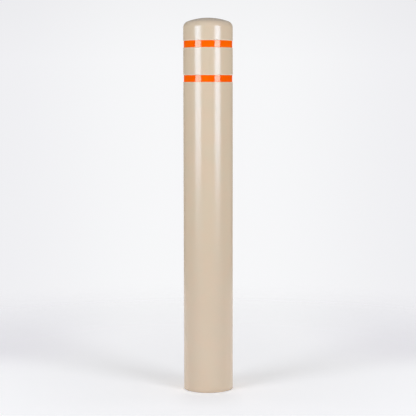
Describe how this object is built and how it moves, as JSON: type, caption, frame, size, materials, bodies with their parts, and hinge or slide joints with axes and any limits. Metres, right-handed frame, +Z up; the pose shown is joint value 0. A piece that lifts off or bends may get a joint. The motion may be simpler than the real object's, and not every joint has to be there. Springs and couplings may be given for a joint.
{
  "type": "bollard cover sleeve",
  "caption": "Tall tan plastic bollard cover: a domed tube moulded whole, with orange reflective tape in shallow recesses and foam strips inside, made to slide over a round steel post.",
  "frame": {"origin": "centre of the bottom rim, on the ground", "axes": "+Z up along the sleeve's axis; -Y is the front, and the tapes lap at the back, +Y"},
  "size_m": [0.1892, 0.1892, 1.4224],
  "materials": {
    "shell": "semi-gloss moulded polyethylene, tan",
    "reflective_tape": "glossy orange reflective tape",
    "foam": "matt closed-cell foam, charcoal"
  },
  "bodies": {
    "root": {"sleeve_shell": "shell", "upper_reflective_band": "reflective_tape", "lower_reflective_band": "reflective_tape", "upper_foam_strip_1": "foam", "upper_foam_strip_2": "foam", "upper_foam_strip_3": "foam", "upper_foam_strip_4": "foam", "lower_foam_strip_1": "foam", "lower_foam_strip_2": "foam", "lower_foam_strip_3": "foam", "lower_foam_strip_4": "foam"}
  },
  "joints": []
}
